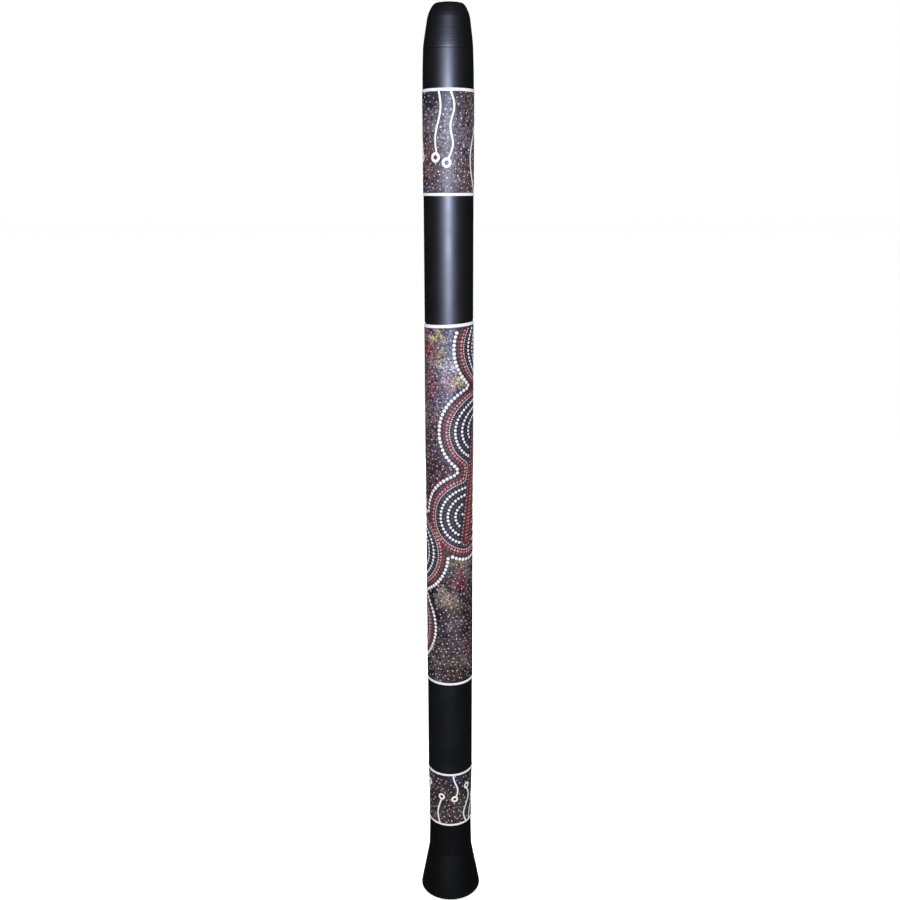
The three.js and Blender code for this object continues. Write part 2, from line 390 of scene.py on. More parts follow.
def paint(name, colours):
    """Raised ink in one colour, or in several that each dot's tint picks from."""
    shader = Shader(name)
    ramp = shader.add("ShaderNodeValToRGB", {"Fac": shader.attribute("tint").outputs["Fac"]})
    while len(ramp.color_ramp.elements) < len(colours):
        ramp.color_ramp.elements.new(0.5)
    for i, colour in enumerate(colours):
        ramp.color_ramp.elements[i].position = i / max(1, len(colours) - 1)
        ramp.color_ramp.elements[i].color = colour
    worn = shader.spread(shader.noise(500, 12.0, detail=4, roughness=0.7), 0.35, 0.7, 1.0, 0.8)
    shader.set(Base_Color=shader.scaled(ramp.outputs["Color"], worn))
    shader.set(Roughness=shader.spread(shader.noise(200, 15.0), 0.3, 0.7, 0.4, 0.52))
    shader.bump(shader.noise(1100, 18.0), strength=0.15, distance=0.00005)
    return shader.material


# ---------- mesh building


def make_object(name, vertices, faces, material, sharp_angle=SHARP_ANGLE):
    mesh = bpy.data.meshes.new(name)
    mesh.from_pydata((np.asarray(vertices, float) * MM).tolist(), [], faces)
    mesh.update()
    mesh.polygons.foreach_set("use_smooth", [True] * len(mesh.polygons))
    mesh.set_sharp_from_angle(angle=math.radians(sharp_angle))
    made = bpy.data.objects.new(name, mesh)
    bpy.context.scene.collection.objects.link(made)
    mesh.materials.append(material)
    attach(made, "root")
    return made


def bezier(start, control1, control2, end, steps):
    """Points of a cubic curve, without its first point."""
    share = np.linspace(0, 1, steps + 1)[1:, None]
    rest = 1 - share
    corners = [np.array(p, float) for p in (start, control1, control2, end)]
    weights = [rest**3, 3 * rest**2 * share, 3 * rest * share**2, share**3]
    return [tuple(p) for p in sum(w * c for w, c in zip(weights, corners))]


MOST_OF_EDGE = 0.45


def rounded(corners, steps=4):
    """A closed outline with its corners rounded. A corner is (radius, height) or (radius, height,
    rounding), and a rounding takes up less than half of an edge."""
    outline = []
    for i, corner in enumerate(corners):
        here = np.array(corner[:2], float)
        if len(corner) == 2:
            outline.append(tuple(here))
            continue
        before = np.array(corners[i - 1][:2], float)
        after = np.array(corners[(i + 1) % len(corners)][:2], float)
        start = here + (before - here) * min(MOST_OF_EDGE, corner[2] / np.linalg.norm(before - here))
        end = here + (after - here) * min(MOST_OF_EDGE, corner[2] / np.linalg.norm(after - here))
        for share in np.linspace(0, 1, steps + 1):
            rest = 1 - share
            outline.append(tuple(rest**2 * start + 2 * share * rest * here + share**2 * end))
    return outline


def anticlockwise(outline):
    """The outline in the order that makes faces point out once it is turned or swept."""
    points = np.array(outline)
    ahead = np.roll(points, -1, axis=0)
    area = np.sum(points[:, 0] * ahead[:, 1] - ahead[:, 0] * points[:, 1])
    return points if area > 0 else points[::-1]


def swept_faces(columns, count, closed):
    """Faces between neighbouring copies of an outline that has this many points."""
    faces = []
    for column in range(columns):
        here = column * count
        there = (column + 1) % columns * count if closed else here + count
        for i in range(count):
            j = (i + 1) % count
            faces.append((here + i, there + i, there + j, here + j))
    return faces


def turned(name, outline, material):
    """A closed outline turned round the tube's axis."""
    points = anticlockwise(outline)
    angles = np.linspace(0, 2 * math.pi, LATHE_COLUMNS, endpoint=False)
    radius = points[None, :, 0]
    x = np.sin(angles)[:, None] * radius
    y = -np.cos(angles)[:, None] * radius
    z = np.broadcast_to(points[None, :, 1], x.shape)
    faces = swept_faces(LATHE_COLUMNS, len(points), closed=True)
    return make_object(name, np.stack([x, y, z], axis=2).reshape(-1, 3), faces, material)


def neck_radius(height):
    """The bell's bare neck, waisted between its top joint and the flare."""
    joint = TUBE_BOTTOM - JOINT_GAP / 2
    middle = (joint + FLARE_HEIGHT) / 2
    share = (height - middle) / (joint - middle)
    return NECK_WAIST_RADIUS + (NECK_END_RADIUS - NECK_WAIST_RADIUS) * share**2


def tube_radius(height):
    """The bare tube under a sleeve: the same at every height, in the shape of the heights given."""
    return TUBE_RADIUS + 0 * height


def lap_climb(turn, lap):
    """How far a wound strip has climbed on to its own start, from 0 to 1. The turn is counted in
    radians from the seam, and the lap is how far the strip's end runs past it."""
    share = np.clip((turn - 2 * math.pi + LAP_RAMP) / LAP_RAMP, 0, 1)
    return np.where(turn < lap, 1, share**2 * (3 - 2 * share))


def sleeve(name, section, material, bare_radius, thickness, seam, lap, slope=0.0, shear_from=None):
    """A strip with this cross-section wound once round the body. Its end laps over its start at the
    seam's angle. The slope lifts it towards +X, wholly or more and more above a height."""
    points = anticlockwise(section)
    lap_angle = lap / TUBE_RADIUS
    angles = math.radians(seam) + np.linspace(0, 2 * math.pi + lap_angle, SLEEVE_COLUMNS + 1)
    lift = lap_climb(angles - math.radians(seam), 0) * (thickness + LAP_CLEARANCE)
    heights = points[None, :, 1]
    radius = bare_radius(heights) + GLUE + points[None, :, 0] + lift[:, None]
    x = np.sin(angles)[:, None] * radius
    y = -np.cos(angles)[:, None] * radius
    share = 1.0
    if shear_from is not None:
        share = np.clip((heights - shear_from) / (heights.max() - shear_from), 0, 1)
    z = heights + slope * share * x
    count = len(points)
    faces = swept_faces(SLEEVE_COLUMNS, count, closed=False)
    faces.append(tuple(range(count)))
    faces.append(tuple(SLEEVE_COLUMNS * count + i for i in reversed(range(count))))
    return make_object(name, np.stack([x, y, z], axis=2).reshape(-1, 3), faces, material)


class Surface:
    """The outside of one printed sleeve, which dots and strokes lie on."""

    def __init__(self, node, bare_radius):
        self.low = lowest(node).z
        self.high = highest(node).z
        self.bare_radius = bare_radius
        self.seam = math.radians(PRINT_SEAMS[node])
        self.radius = float(bare_radius((self.low + self.high) / 2)) + GLUE + PRINT_THICKNESS
        self.circumference = 2 * math.pi * self.radius

    def arc(self, angle):
        return math.radians(angle) * self.radius

    def point(self, arc, height, lift):
        angle = arc / self.radius
        climb = lap_climb((angle - self.seam) % (2 * math.pi), PRINT_LAP / TUBE_RADIUS)
        lift = lift + climb * (PRINT_THICKNESS + LAP_CLEARANCE)
        radius = self.bare_radius(height) + GLUE + PRINT_THICKNESS + lift
        return np.stack([np.sin(angle) * radius, -np.cos(angle) * radius, height + 0 * radius], axis=-1)

    def near(self, arc):
        """The same way round, as an arc between minus and plus half a turn."""
        return (arc + self.circumference / 2) % self.circumference - self.circumference / 2


# A dome's rings as (share of the radius, share of the rise), and a stroke's section as (share of
# the half width, share of the rise). None is the foot, sunk into the film.
DOME = [(1.0, None), (0.95, 0.42), (0.62, 0.86)]
STROKE = [(-1.0, None), (-0.72, 0.7), (-0.3, 0.96), (0.3, 0.96), (0.72, 0.7), (1.0, None)]
TIP_LEAST = 0.05  # keeps a line's round end from closing to a point


def dots(name, surface, places, material, sides):
    """Low domes of ink. Each place is (arc, height, radius, rise, tint)."""
    table = np.array(places, float)
    around = np.linspace(0, 2 * math.pi, sides, endpoint=False)
    rings = []
    for share, lift in DOME:
        arc = table[:, 0:1] + table[:, 2:3] * share * np.cos(around)
        height = table[:, 1:2] + table[:, 2:3] * share * np.sin(around)
        rise = -PAINT_SINK if lift is None else table[:, 3:4] * lift
        rings.append(surface.point(arc, height, rise + 0 * arc))
    crown = surface.point(table[:, 0], table[:, 1], table[:, 3])[:, None, :]
    vertices = np.concatenate([*rings, crown], axis=1).reshape(-1, 3)
    each = len(DOME) * sides + 1
    pattern = [tuple(reversed(range(sides)))]
    for ring in range(len(DOME) - 1):
        for i in range(sides):
            j = (i + 1) % sides
            low, high = ring * sides, (ring + 1) * sides
            pattern.append((low + i, low + j, high + j, high + i))
    last = (len(DOME) - 1) * sides
    pattern += [(last + i, last + (i + 1) % sides, each - 1) for i in range(sides)]
    faces = [tuple(v + k * each for v in face) for k in range(len(table)) for face in pattern]
    made = make_object(name, vertices, faces, material, sharp_angle=INK_SHARP_ANGLE)
    tint = made.data.attributes.new("tint", "FLOAT", "POINT")
    tint.data.foreach_set("value", np.repeat(table[:, 4], each).astype(np.float32))
    return made


def run_lengths(points):
    """How far along a line each of its points is."""
    return np.concatenate([[0], np.cumsum(np.linalg.norm(np.diff(points, axis=0), axis=1))])


def strokes(name, surface, lines, material):
    """Low ridges of ink. Each line is (points, half width, rise, closed), and an open line starts
    square, at a sleeve's edge, and ends round."""
    vertices, faces = [], []
    count = len(STROKE)
    for points, half_width, rise, closed in lines:
        points = np.array(points, float)
        ahead = np.roll(points, -1, axis=0) - np.roll(points, 1, axis=0)
        if not closed:
            ahead[0], ahead[-1] = points[1] - points[0], points[-1] - points[-2]
        ahead /= np.linalg.norm(ahead, axis=1)[:, None]
        side = np.stack([-ahead[:, 1], ahead[:, 0]], axis=1)
        width = np.full(len(points), half_width)
        if not closed:
            gone = run_lengths(points)
            left = np.clip((gone[-1] - gone) / half_width, 0, 1)
            width = half_width * np.sqrt(np.clip(left * (2 - left), TIP_LEAST, 1))
        start = sum(len(v) for v in vertices)
        for share, lift in STROKE:
            where = points + side * (width * share)[:, None]
            raised = -PAINT_SINK + 0 * width if lift is None else rise * lift * width / half_width
            vertices.append(surface.point(where[:, 0], where[:, 1], raised))
        length = len(points)
        for k in range(length if closed else length - 1):
            nxt = (k + 1) % length
            for i in range(count):
                j = (i + 1) % count
                faces.append((start + i * length + k, start + j * length + k,
                              start + j * length + nxt, start + i * length + nxt))
        if not closed:
            faces.append(tuple(start + i * length for i in reversed(range(count))))
            faces.append(tuple(start + i * length + length - 1 for i in range(count)))
    flipped = [tuple(reversed(face)) for face in faces]
    return make_object(name, np.concatenate(vertices), flipped, material, sharp_angle=INK_SHARP_ANGLE)


# ---------- body


CURVE_STEPS = 22
LIP_STEPS = 10
TAPER_STEPS = 16
STRAIGHT_ROWS = 24


def mouthpiece(material):
    joint = TUBE_TOP + JOINT_GAP
    shoulder = (SHOULDER_RADIUS, TOP - SHOULDER_DEPTH)
    foot = (TUBE_TIP_RADIUS, joint + 0.5)
    crest = (LIP_CREST_RADIUS, TOP)
    hole = (MOUTH_HOLE_RADIUS, TOP - LIP_ROLL_DEPTH)
    hole_end = (MOUTH_HOLE_RADIUS, hole[1] - 2)
    inside = (SPIGOT_BORE_RADIUS, joint + 3)
    side = bezier(foot, (TUBE_TIP_RADIUS - 0.3, foot[1] + 8),
                  (SHOULDER_RADIUS + 1.6, shoulder[1] - 12), shoulder, CURVE_STEPS)
    dome = bezier(shoulder, (SHOULDER_RADIUS - 1.2, shoulder[1] + 8),
                  (LIP_CREST_RADIUS + 2.9, TOP), crest, CURVE_STEPS)
    lip = bezier(crest, (LIP_CREST_RADIUS - 1.1, TOP),
                 (MOUTH_HOLE_RADIUS, hole[1] + 1.5), hole, LIP_STEPS)
    flow = bezier(hole_end, (MOUTH_HOLE_RADIUS, hole_end[1] - 9),
                  (SPIGOT_BORE_RADIUS, inside[1] + 20), inside, CURVE_STEPS)
    outline = rounded([
        (SPIGOT_RADIUS, joint),
        (TUBE_TIP_RADIUS - 0.03, joint, SEAM_ROUNDING),
        foot, *side, *dome, *lip, hole_end, *flow,
        (SPIGOT_BORE_RADIUS, MOUTHPIECE_SPIGOT_END, BORE_END_ROUNDING),
        (SPIGOT_RADIUS, MOUTHPIECE_SPIGOT_END, SPIGOT_END_ROUNDING),
    ])
    made = turned("moulded_mouthpiece", outline, material)
    for vertex in made.data.vertices:
        share = (vertex.co.z / MM - joint) / (TOP - joint)
        vertex.co.x += MOUTHPIECE_LEAN * MM * max(0, share)
    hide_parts("mouthpiece")


def main_tube(material):
    start = (TUBE_RADIUS, TUBE_TOP - TUBE_TAPER_LENGTH)
    end = (TUBE_TIP_RADIUS, TUBE_TOP - 0.5)
    taper = bezier(start, (TUBE_RADIUS, start[1] + TUBE_TAPER_LENGTH / 3),
                   (TUBE_TIP_RADIUS + 0.3, TUBE_TOP - TUBE_TAPER_LENGTH / 4), end, TAPER_STEPS)
    heights = np.linspace(TUBE_BOTTOM + 1, start[1], STRAIGHT_ROWS)
    straight = [(TUBE_RADIUS, height) for height in heights]
    outline = rounded([
        (TUBE_BORE_RADIUS, TUBE_BOTTOM),
        (TUBE_RADIUS, TUBE_BOTTOM, PIPE_END_ROUNDING),
        *straight, *taper,
        (TUBE_TIP_RADIUS - 0.03, TUBE_TOP, SEAM_ROUNDING),
        (TUBE_BORE_RADIUS, TUBE_TOP, PIPE_END_ROUNDING),
    ])
    made = turned("pipe_tube", outline, material)
    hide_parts("main_tube")


def bell(material):
    joint = TUBE_BOTTOM - JOINT_GAP
    slope = (BELL_RIM_RADIUS - NECK_END_RADIUS) / FLARE_HEIGHT
    heights = np.linspace(FLARE_HEIGHT, joint - 0.8, CURVE_STEPS)[1:]
    neck = [(neck_radius(height), height) for height in heights]
    outline = rounded([
        (BELL_RIM_RADIUS - BELL_WALL, 0, 0.5),
        (BELL_RIM_RADIUS - 0.05, 0, 0.9),
        (NECK_END_RADIUS, FLARE_HEIGHT, 1.2),
        *neck,
        (neck_radius(joint), joint, PIPE_END_ROUNDING),
        (SPIGOT_RADIUS, joint),
        (SPIGOT_RADIUS, BELL_SPIGOT_END, SPIGOT_END_ROUNDING),
        (SPIGOT_BORE_RADIUS, BELL_SPIGOT_END, BORE_END_ROUNDING),
        (SPIGOT_BORE_RADIUS, joint + 3, 2),
        (NECK_BORE_RADIUS, joint - 3, 2),
        (NECK_BORE_RADIUS, FLARE_HEIGHT + 8, 12),
        (NECK_END_RADIUS - BELL_WALL + slope * 8, FLARE_HEIGHT - 8, 8),
    ], steps=6)
    made = turned("moulded_bell", outline, material)
    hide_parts("bell")


# ---------- films and tapes


def print_film(name, node, material, bare_radius, row_pitch, high=None, slope=0.0):
    """A printed sleeve over a CAD node. Where its top edge slopes, high is that edge's middle."""
    low = lowest(node).z
    high = high or highest(node).z
    heights = np.linspace(low, high, round((high - low) / row_pitch) + 1)
    inner = heights if bare_radius is neck_radius else heights[[0, -1]]
    section = [(PRINT_THICKNESS, height) for height in heights]
    section += [(0, height) for height in inner[::-1]]
    made = sleeve(name, section, material, bare_radius, PRINT_THICKNESS, PRINT_SEAMS[node], PRINT_LAP,
                  slope, low if slope else None)
    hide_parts(node)
    return made


def tape_band(name, node, material, bare_radius, seam, slope=0.0):
    middle = middle_height(node)
    half = (highest(node).z - lowest(node).z) / 2 - slope * TUBE_TAPE_RADIUS
    section = rounded([
        (0, middle - half),
        (TAPE_THICKNESS, middle - half, TAPE_CORNER),
        (TAPE_THICKNESS, middle + half, TAPE_CORNER),
        (0, middle + half),
    ], steps=3)
    made = sleeve(name, section, material, bare_radius, TAPE_THICKNESS, seam, TAPE_LAP, slope)
    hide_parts(node)


# ---------- ring motifs


def smooth_least(distances, blend):
    """The least of several distances, with the corner between them eased."""
    stack = np.stack(distances)
    least = stack.min(axis=0)
    return least - blend * np.log(np.exp(-(stack - least) / blend).sum(axis=0))


class Chain:
    """Ring motifs in a row. The last two are joined by a path."""

    def __init__(self, surface, motifs):
        self.surface = surface
        self.centres = [(surface.arc(angle), height) for angle, height in motifs]
        lower = self.centres[-1]
        self.path = [self.centres[-2], (lower[0] + PATH_END[0], lower[1] + PATH_END[1])]

    def to_centre(self, centre, arc, height):
        return np.hypot(self.surface.near(arc - centre[0]), height - centre[1])

    def to_path(self, arc, height):
        (arc1, height1), (arc2, height2) = self.path
        run, fall = arc2 - arc1, height2 - height1
        across, up = self.surface.near(arc - arc1), height - height1
        share = np.clip((across * run + up * fall) / (run**2 + fall**2), 0, 1)
        return np.hypot(across - share * run, up - share * fall)

    def discs(self, arc, height):
        return [self.to_centre(centre, arc, height) - MOTIF_RADIUS for centre in self.centres]

    def outline(self, arc, height):
        """Distance outside the chain's outline, negative inside it."""
        path = self.to_path(arc, height) - PATH_OUTLINE_RADIUS
        return smooth_least([*self.discs(arc, height), path], OUTLINE_BLEND)


WALK_STEP = 1.6
WALK_MOST = 900


def slope_of(field, point, step=0.05):
    arc, height = point
    across = field(arc + step, height) - field(arc - step, height)
    up = field(arc, height + step) - field(arc, height - step)
    return np.array([across, up]) / (2 * step)


def settled(field, level, point):
    """The point moved on to the field's contour at a level."""
    for _ in range(3):
        slope = slope_of(field, point)
        point = point - slope * (field(*point) - level) / max(1e-6, slope @ slope)
    return point


def walked(field, level, start, pitch):
    """Places evenly spaced by about a pitch, once round the field's contour at a level."""
    point = settled(field, level, np.array(start, float))
    trail = [point]
    while len(trail) < WALK_MOST and (len(trail) < 4 or np.linalg.norm(point - trail[0]) > WALK_STEP):
        slope = slope_of(field, point)
        forward = np.array([-slope[1], slope[0]]) / np.linalg.norm(slope)
        point = settled(field, level, point + forward * WALK_STEP)
        trail.append(point)
    trail = np.array([*trail, trail[0]])
    gone = run_lengths(trail)
    where = np.linspace(0, gone[-1], round(gone[-1] / pitch), endpoint=False)
    return list(np.stack([np.interp(where, gone, trail[:, i]) for i in range(2)], axis=1))


class Ink:
    """Collects dots by colour, with small seeded differences between them."""

    def __init__(self, surface, seed):
        self.surface = surface
        self.chance = random.Random(seed)
        self.places = {}

    def dot(self, colour, arc, height, radius, rise, tint=None):
        if not self.surface.low + radius < height < self.surface.high - radius:
            return
        size = radius * self.chance.uniform(0.93, 1.07)
        tint = self.chance.random() if tint is None else tint
        self.places.setdefault(colour, []).append((arc, height, size, rise, tint))


CHAIN_ROWS = [  # depth inside the outline, colour, dot radius, pitch, rise
    (0.0, "white", 2.25, 5.2, 0.34),
    (-5.9, "mauve", 1.2, 4.7, 0.16),
    (-9.6, "salmon", 1.75, 4.7, 0.26),
    (-13.2, "pale_pink", 0.95, 2.9, 0.18),
    (-16.8, "slate", 0.95, 5.2, 0.14),
]
RINGS = [  # radius, colour, dot radius, pitch, rise
    (37.2, "white", 1.85, 4.8, 0.3),
    (32.5, "slate", 0.9, 5.0, 0.14),
    (27.8, "white", 1.85, 4.8, 0.3),
    (22.7, "slate", 0.9, 5.0, 0.14),
    (17.8, "white", 1.75, 4.7, 0.3),
    (12.9, "slate", 0.9, 4.8, 0.14),
    (8.2, "white", 1.6, 4.6, 0.3),
]


EDGE_MARGIN = 0.2


def below_sloped_edge(surface, arc, height, top):
    """Whether a place lies on the middle sleeve, whose top edge has its middle at this height."""
    across = math.sin(arc / surface.radius) * surface.radius
    return height < top + MIDDLE_TOP_SLOPE * across - EDGE_MARGIN


def chain_dots(ink, chain, other):
    """The rows along a chain's outline, its motifs' rings, and the rows in its path."""
    for level, colour, radius, pitch, rise in CHAIN_ROWS:
        row = []
        for centre in chain.centres:
            start = np.array([centre[0] - MOTIF_RADIUS - level, centre[1]])
            start = settled(chain.outline, level, start)
            if all(np.linalg.norm(start - place) > pitch for place in row):
                row += walked(chain.outline, level, start, pitch)
        for place in row:
            if other.outline(*place) > level + CHAIN_CLEARANCE:
                ink.dot(colour, *place, radius, rise)
    for centre in chain.centres:
        for ring, colour, radius, pitch, rise in RINGS:
            count = round(2 * math.pi * ring / pitch)
            for i in range(count):
                turn = 2 * math.pi * i / count
                arc = centre[0] + ring * math.cos(turn)
                height = centre[1] + ring * math.sin(turn)
                clear = chain.to_path(arc, height) > PATH_HALF_WIDTH + radius + CHAIN_CLEARANCE
                if clear and other.outline(arc, height) > -RING_OVERLAP:
                    ink.dot(colour, arc, height, radius, rise)
    for level in (PATH_HALF_WIDTH, PATH_HALF_WIDTH - PATH_ROW_GAP):
        start = (chain.path[0][0] - level, chain.path[0][1])
        for place in walked(chain.to_path, level, start, PATH_PITCH):
            if chain.outline(*place) < -PATH_DOT_DEPTH:
                ink.dot("salmon", *place, PATH_DOT_RADIUS, PATH_DOT_RISE)


STAR_PITCH = 7.2
STAR_ROW_PITCH = STAR_PITCH * 0.87  # rows of a near-regular triangular grid
STAR_SHIFT = 2.2  # the most that a dot is off its place in the grid
STAR_RADII = [0.62, 0.75, 0.85, 0.95]
STAR_RISE = 0.15


def star_dots(ink, is_free):
    """Small dots scattered evenly over what is_free(arc, height) allows."""
    surface = ink.surface
    columns = round(surface.circumference / STAR_PITCH)
    rows = round((surface.high - surface.low) / STAR_ROW_PITCH)
    for row in range(rows + 1):
        for column in range(columns):
            arc = surface.near((column + row % 2 / 2) * surface.circumference / columns)
            arc += ink.chance.uniform(-STAR_SHIFT, STAR_SHIFT)
            height = surface.low + row * STAR_ROW_PITCH + ink.chance.uniform(-STAR_SHIFT, STAR_SHIFT)
            size = ink.chance.choice(STAR_RADII)
            if is_free(arc, height):
                ink.dot("star", arc, height, size, STAR_RISE)


def paint_zones(film, surface, chains):
    """Stores how far each point of the film is red, dark field or gap, for its material."""
    points = np.empty(len(film.data.vertices) * 3)
    film.data.vertices.foreach_get("co", points)
    points = points.reshape(-1, 3) / MM
    arc = np.arctan2(points[:, 0], -points[:, 1]) * surface.radius
    height = points[:, 2]
    outline = np.min([chain.outline(arc, height) for chain in chains], axis=0)
    disc = np.min([np.min(chain.discs(arc, height), axis=0) for chain in chains], axis=0)
    path = np.min([chain.to_path(arc, height) for chain in chains], axis=0)

    def inside(distance, depth):
        return np.clip(0.5 - (distance + depth) / ZONE_BLUR, 0, 1)

    gap = inside(outline, 0)
    on_path = inside(path, -PATH_HALF_WIDTH - PATH_GROUND_MARGIN) * inside(outline, PATH_GROUND_DEPTH)
    field = inside(disc, FIELD_DEPTH) * (1 - on_path)
    red = inside(outline, RED_DEPTH) * (1 - field)
    zones = film.data.color_attributes.new("zones", "FLOAT_COLOR", "POINT")
    colours = np.stack([red, field, gap, np.ones(len(gap))], axis=1)
    zones.data.foreach_set("color", colours.astype(np.float32).ravel())


MIDDLE_SEED = 11
MIDDLE_SPARE_HEIGHT = 40  # dots are drawn this far past the sloped edge's foot, then cut to it
STAR_CLEARANCE = 3.6
WHITE_DOT_SIDES = 12
SMALL_DOT_SIDES = 9


def middle_decoration(film, film_top, paints):
    surface = Surface("middle_print_wrap", tube_radius)
    chains = [Chain(surface, motifs) for motifs in CHAINS]
    paint_zones(film, surface, chains)
    ink = Ink(surface, MIDDLE_SEED)
    surface.high = lowest("middle_wrap_top_band").z + MIDDLE_SPARE_HEIGHT
    chain_dots(ink, chains[0], chains[1])
    chain_dots(ink, chains[1], chains[0])
    star_dots(ink, lambda arc, height: min(c.outline(arc, height) for c in chains) > STAR_CLEARANCE)
    for colour, places in ink.places.items():
        kept = [p for p in places if below_sloped_edge(surface, p[0], p[1] + p[2], film_top)]
        sides = WHITE_DOT_SIDES if colour == "white" else SMALL_DOT_SIDES
        made = dots("middle_" + colour + "_dots", surface, kept, paints[colour], sides)


# ---------- strokes


LINE_STEP = 1.3
LINE_LEAST_POINTS = 10
LINE_START = 0.1  # a line starts this far in from the sleeve's edge
LINE_RISE = 0.24
RING_RISE = 0.3
RING_POINTS = 28
RING_HALF_WIDTH = 0.42  # in ring radii
HANGING_MEETS = (0.45, 0.89)  # where a hanging line meets its ring, in ring radii
RISING_MEETS = (0, -1)
LINE_CLEARANCE = 1.6  # between a line and the small dots
RING_CLEARANCE = 1.5  # the small dots keep this far from a ring's centre, in ring radii


def wavy_line(start, end, sway, waves, phase, bulge):
    """Points of a wavy line between two places."""
    steps = max(LINE_LEAST_POINTS, round(abs(end[1] - start[1]) / LINE_STEP))
    shares = np.linspace(0, 1, steps)
    wave = np.sin(phase + shares * waves * 2 * math.pi)
    wave -= wave[0] + (wave[-1] - wave[0]) * shares
    arc = start[0] + (end[0] - start[0]) * shares + sway * wave + bulge * np.sin(shares * math.pi)
    return np.stack([arc, start[1] + (end[1] - start[1]) * shares], axis=1)


def circle(centre, radius):
    turns = np.linspace(0, 2 * math.pi, RING_POINTS, endpoint=False)
    return np.stack([centre[0] + radius * np.cos(turns), centre[1] + radius * np.sin(turns)], axis=1)


def stroke_set(name, surface, plan, line_width, ring_radius, paints, seed):
    """Wavy strokes that hang from the top edge or rise from the bottom one, each ending in a ring,
    with small dots between them."""
    lines, ends = [], []
    for angle, turn, length, sway, waves, phase, bulge in plan:
        hangs = length < 0
        start = surface.high - LINE_START if hangs else surface.low + LINE_START
        centre = (surface.arc(angle + turn), start + length)
        meets = HANGING_MEETS if hangs else RISING_MEETS
        end = (centre[0] + meets[0] * ring_radius, centre[1] + meets[1] * ring_radius)
        points = wavy_line((surface.arc(angle), start), end, sway, waves, phase, bulge)
        lines.append((points, line_width / 2, LINE_RISE, False))
        lines.append((circle(centre, ring_radius), ring_radius * RING_HALF_WIDTH, RING_RISE, True))
        ends.append(centre)
    made = strokes(name + "_strokes", surface, lines, paints["white"])
    line_points = np.concatenate([line[0] for line in lines])

    def is_free(arc, height):
        gaps = np.hypot(surface.near(line_points[:, 0] - arc), line_points[:, 1] - height)
        to_rings = [math.hypot(surface.near(arc - x), height - y) for x, y in ends]
        clear_of_lines = gaps.min() > line_width / 2 + LINE_CLEARANCE
        return clear_of_lines and min(to_rings) > ring_radius * RING_CLEARANCE

    ink = Ink(surface, seed)
    star_dots(ink, is_free)
    made = dots(name + "_star_dots", surface, ink.places["star"], paints["star"], SMALL_DOT_SIDES)


# ---------- stage


FLOOR_REACH = 30
FLOOR_GLOW = 0.455  # lifts the floor to the white of the background
WORLD_LIGHT = 0.64  # the world's light on surfaces
WORLD_GLOSS = 0.02  # its strength in reflections, so that the black plastic keeps one clear gleam
WORLD_SEEN = 1.0  # its strength where the camera sees it


def pale_floor():
    shader = Shader("pale_floor")
    tone = shader.spread(shader.noise(3, 1.0, detail=3), 0.3, 0.7)
    shader.set(Base_Color=shader.mix(tone, srgb(244, 244, 244), srgb(248, 248, 248)), Roughness=0.9)
    shader.set(Emission_Color=(1, 1, 1, 1), Emission_Strength=FLOOR_GLOW)
    mesh = bpy.data.meshes.new("floor")
    corners = [(-1, -1, 0), (1, -1, 0), (1, 1, 0), (-1, 1, 0)]
    mesh.from_pydata([(x * FLOOR_REACH, y * FLOOR_REACH, z) for x, y, z in corners], [], [(0, 1, 2, 3)])
    mesh.materials.append(shader.material)
    floor = bpy.data.objects.new("floor", mesh)
    bpy.context.scene.collection.objects.link(floor)
    floor.visible_glossy = False
    floor.visible_diffuse = False


def studio_world():
    """An even white world, dimmer for surfaces and nearly dark in reflections."""
    world = bpy.data.worlds.new("studio")
    world.use_nodes = True
    bpy.context.scene.world = world
    tree = world.node_tree
    background = tree.nodes["Background"]
    ray = tree.nodes.new("ShaderNodeLightPath")
    seen = tree.nodes.new("ShaderNodeMapRange")
    tree.links.new(ray.outputs["Is Camera Ray"], seen.inputs["Value"])
    seen.inputs["To Min"].default_value = WORLD_LIGHT
    seen.inputs["To Max"].default_value = WORLD_SEEN
    gloss = tree.nodes.new("ShaderNodeMath")
    gloss.operation = "MULTIPLY_ADD"
    tree.links.new(ray.outputs["Is Glossy Ray"], gloss.inputs[0])
    gloss.inputs[1].default_value = WORLD_GLOSS - WORLD_LIGHT
    tree.links.new(seen.outputs["Result"], gloss.inputs[2])
    background.inputs["Color"].default_value = (1, 1, 1, 1)
    tree.links.new(gloss.outputs[0], background.inputs["Strength"])


def studio_lights():
    """Two gleams that only reflections show, a soft front fill that none does, and a back light.
    Each is (name, place, target, width, height, watts, colour)."""
    narrow = area_light("narrow_gleam", (0, -1.26, 1.005), (0, 0, 1.005), 0.07, 0.3, 41, (0.64, 0.71, 1.0))
    narrow.visible_diffuse = False
    wide = area_light("wide_gleam", (-0.3, -1.22, 1.01), (0, 0, 1.005), 0.7, 0.4, 9, (0.75, 0.75, 1.0))
    wide.visible_diffuse = False
    fill = area_light("front_fill", (0, -1.5, 1.1), (0, 0, 0.7), 0.8, 0.8, 14, (0.98, 0.97, 1.0))
    fill.visible_glossy = False
    area_light("soft_back", (0, 2.0, 1.2), (0, 0, 0.6), 0.3, 1.6, 60, (1, 1, 1))


def area_light(name, place, target, width, height, power, colour):
    light = bpy.data.lights.new(name, "AREA")
    light.shape = "RECTANGLE"
    light.size, light.size_y = width, height
    light.energy = power
    light.color = colour
    made = bpy.data.objects.new(name, light)
    bpy.context.scene.collection.objects.link(made)
    made.location = place
    direction = Vector(target) - Vector(place)
    made.rotation_euler = direction.to_track_quat("-Z", "Y").to_euler()
    return made


CAMERA_PLACE = (0.0009, -1.242, 0.9695)
CAMERA_TILT = 14.7  # degrees below level
CAMERA_ROLL = -0.165


